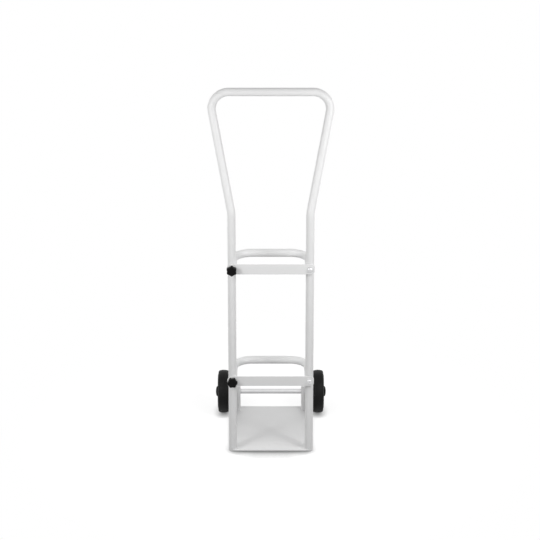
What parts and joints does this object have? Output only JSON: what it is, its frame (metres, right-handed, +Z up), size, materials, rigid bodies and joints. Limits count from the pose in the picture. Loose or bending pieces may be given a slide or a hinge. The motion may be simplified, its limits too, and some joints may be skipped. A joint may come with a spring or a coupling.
{
  "type": "gas cylinder trolley",
  "caption": "Two-wheeled upright trolley that carries a gas cylinder on a flat base plate, with a bent-tube frame, flared handle, U-shaped cradles and swinging retaining bars under star knobs.",
  "frame": {"origin": "on the floor, under the middle of the line between the two leg centre lines", "axes": "+Z up, -Y to the front where the bars and knobs are, +X to the side of the bar pivots"},
  "size_m": [0.3766, 0.3867, 1.1705],
  "materials": {
    "paint": "white powder coat, satin",
    "zinc": "zinc plated",
    "tyre": "solid rubber, matt",
    "black_plastic": "moulded, fine grain",
    "nylon": "natural nylon",
    "brass": "turned"
  },
  "bodies": {
    "frame": {"frame_tube": "paint", "upper_cradle": "paint", "lower_cradle": "paint", "base_plate": "paint", "left_axle_post": "paint", "left_post_cap": "paint", "right_axle_post": "paint", "right_post_cap": "paint", "axle": "zinc", "left_spacer": "zinc", "left_end_washer": "zinc", "left_axle_cap": "black_plastic", "right_spacer": "zinc", "right_end_washer": "zinc", "right_axle_cap": "black_plastic", "upper_pivot_boss": "paint", "upper_stud_boss": "paint", "upper_pivot_bolt": "zinc", "upper_pivot_washer": "zinc", "upper_stud": "zinc", "lower_pivot_boss": "paint", "lower_stud_boss": "paint", "lower_pivot_bolt": "zinc", "lower_pivot_washer": "zinc", "lower_stud": "zinc"},
    "left_wheel": {"left_tyre": "tyre", "left_hub": "black_plastic", "left_bush": "nylon"},
    "right_wheel": {"right_tyre": "tyre", "right_hub": "black_plastic", "right_bush": "nylon"},
    "upper_bar": {"upper_strap": "paint"},
    "upper_washer": {"upper_knob_washer": "zinc"},
    "upper_star_knob": {"upper_knob": "black_plastic", "upper_knob_insert": "brass"},
    "lower_bar": {"lower_strap": "paint"},
    "lower_washer": {"lower_knob_washer": "zinc"},
    "lower_star_knob": {"lower_knob": "black_plastic", "lower_knob_insert": "brass"}
  },
  "joints": [
    {"name": "left_wheel_spin", "type": "hinge", "parent": "frame", "child": "left_wheel", "pos_m": [-0.152, 0.2765, 0.06925], "axis": [1, 0, 0], "continuous": true},
    {"name": "right_wheel_spin", "type": "hinge", "parent": "frame", "child": "right_wheel", "pos_m": [0.152, 0.2765, 0.06925], "axis": [1, 0, 0], "continuous": true},
    {"name": "upper_bar_swing", "type": "hinge", "parent": "frame", "child": "upper_bar", "pos_m": [0.1185, -0.0188, 0.622], "axis": [0, 1, 0], "range_deg": [0, 180]},
    {"name": "upper_washer_travel", "type": "slide", "parent": "frame", "child": "upper_washer", "axis": [0, -1, 0], "range_m": [0, 0.0051]},
    {"name": "upper_knob_turn", "type": "hinge", "parent": "upper_washer", "child": "upper_star_knob", "pos_m": [-0.1185, -0.032, 0.622], "axis": [0, -1, 0], "range_deg": [0, 1440]},
    {"name": "lower_bar_swing", "type": "hinge", "parent": "frame", "child": "lower_bar", "pos_m": [0.1185, -0.0188, 0.248], "axis": [0, 1, 0], "range_deg": [0, 180]},
    {"name": "lower_washer_travel", "type": "slide", "parent": "frame", "child": "lower_washer", "axis": [0, -1, 0], "range_m": [0, 0.0051]},
    {"name": "lower_knob_turn", "type": "hinge", "parent": "lower_washer", "child": "lower_star_knob", "pos_m": [-0.1185, -0.032, 0.248], "axis": [0, -1, 0], "range_deg": [0, 1440]}
  ],
  "couplings": [
    {"joint": "upper_washer_travel", "follows": "upper_knob_turn", "m_per_rad": 0.00019894},
    {"joint": "lower_washer_travel", "follows": "lower_knob_turn", "m_per_rad": 0.00019894}
  ]
}
